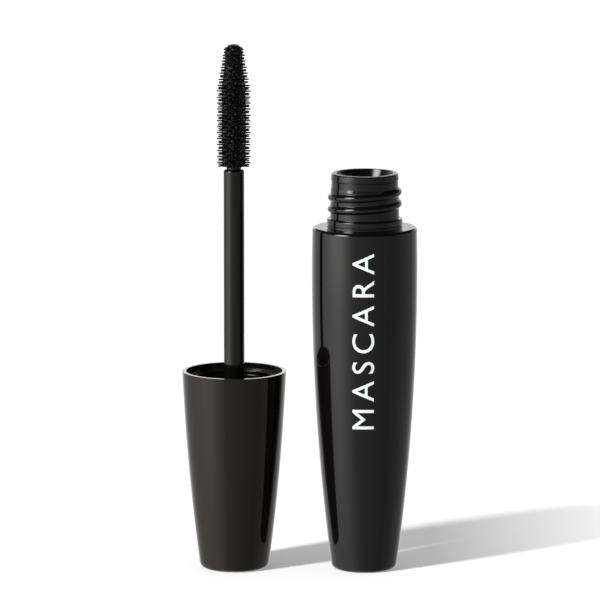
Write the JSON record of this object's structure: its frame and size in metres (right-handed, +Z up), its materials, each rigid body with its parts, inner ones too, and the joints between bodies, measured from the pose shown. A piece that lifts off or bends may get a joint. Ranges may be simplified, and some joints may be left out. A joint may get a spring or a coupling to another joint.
{
  "type": "mascara tube",
  "caption": "Slim black mascara tube, opened: a threaded bottle with a wiper in its neck, and the screw cap beside it on its closed end, its stem and bristled brush pointing up.",
  "frame": {"origin": "centre of the bottle's flat base, on the surface that the bottle and the cap stand on", "axes": "+Z up along the bottle's axis; the cap with its wand stands towards -X; the front with the print faces -Y"},
  "size_m": [0.0516, 0.0241, 0.1161],
  "materials": {
    "bottle_plastic": "gloss",
    "cap_plastic": "gloss",
    "insert_plastic": "satin",
    "wiper_plastic": "satin",
    "stem_plastic": "gloss",
    "core_plastic": "satin",
    "bristle_elastomer": "satin",
    "washer_rubber": "matte",
    "paste": "gloss",
    "print_ink": "satin"
  },
  "bodies": {
    "bottle_body": {"bottle": "bottle_plastic", "wiper": "wiper_plastic", "mascara_paste": "paste"},
    "washer_body": {"sealing_washer": "washer_rubber"},
    "cap_and_wand": {"outer_cap": "cap_plastic", "inner_cap": "insert_plastic", "stem": "stem_plastic", "brush_core": "core_plastic", "brush_bristles": "bristle_elastomer"}
  },
  "joints": [
    {"name": "cap_lift", "type": "slide", "parent": "bottle_body", "child": "washer_body", "axis": [0, 0, 1], "range_m": [0, 0.095]},
    {"name": "cap_turn", "type": "hinge", "parent": "washer_body", "child": "cap_and_wand", "pos_m": [-0.0286, 0.00105, 0], "axis": [0, 0, 1], "continuous": true}
  ]
}
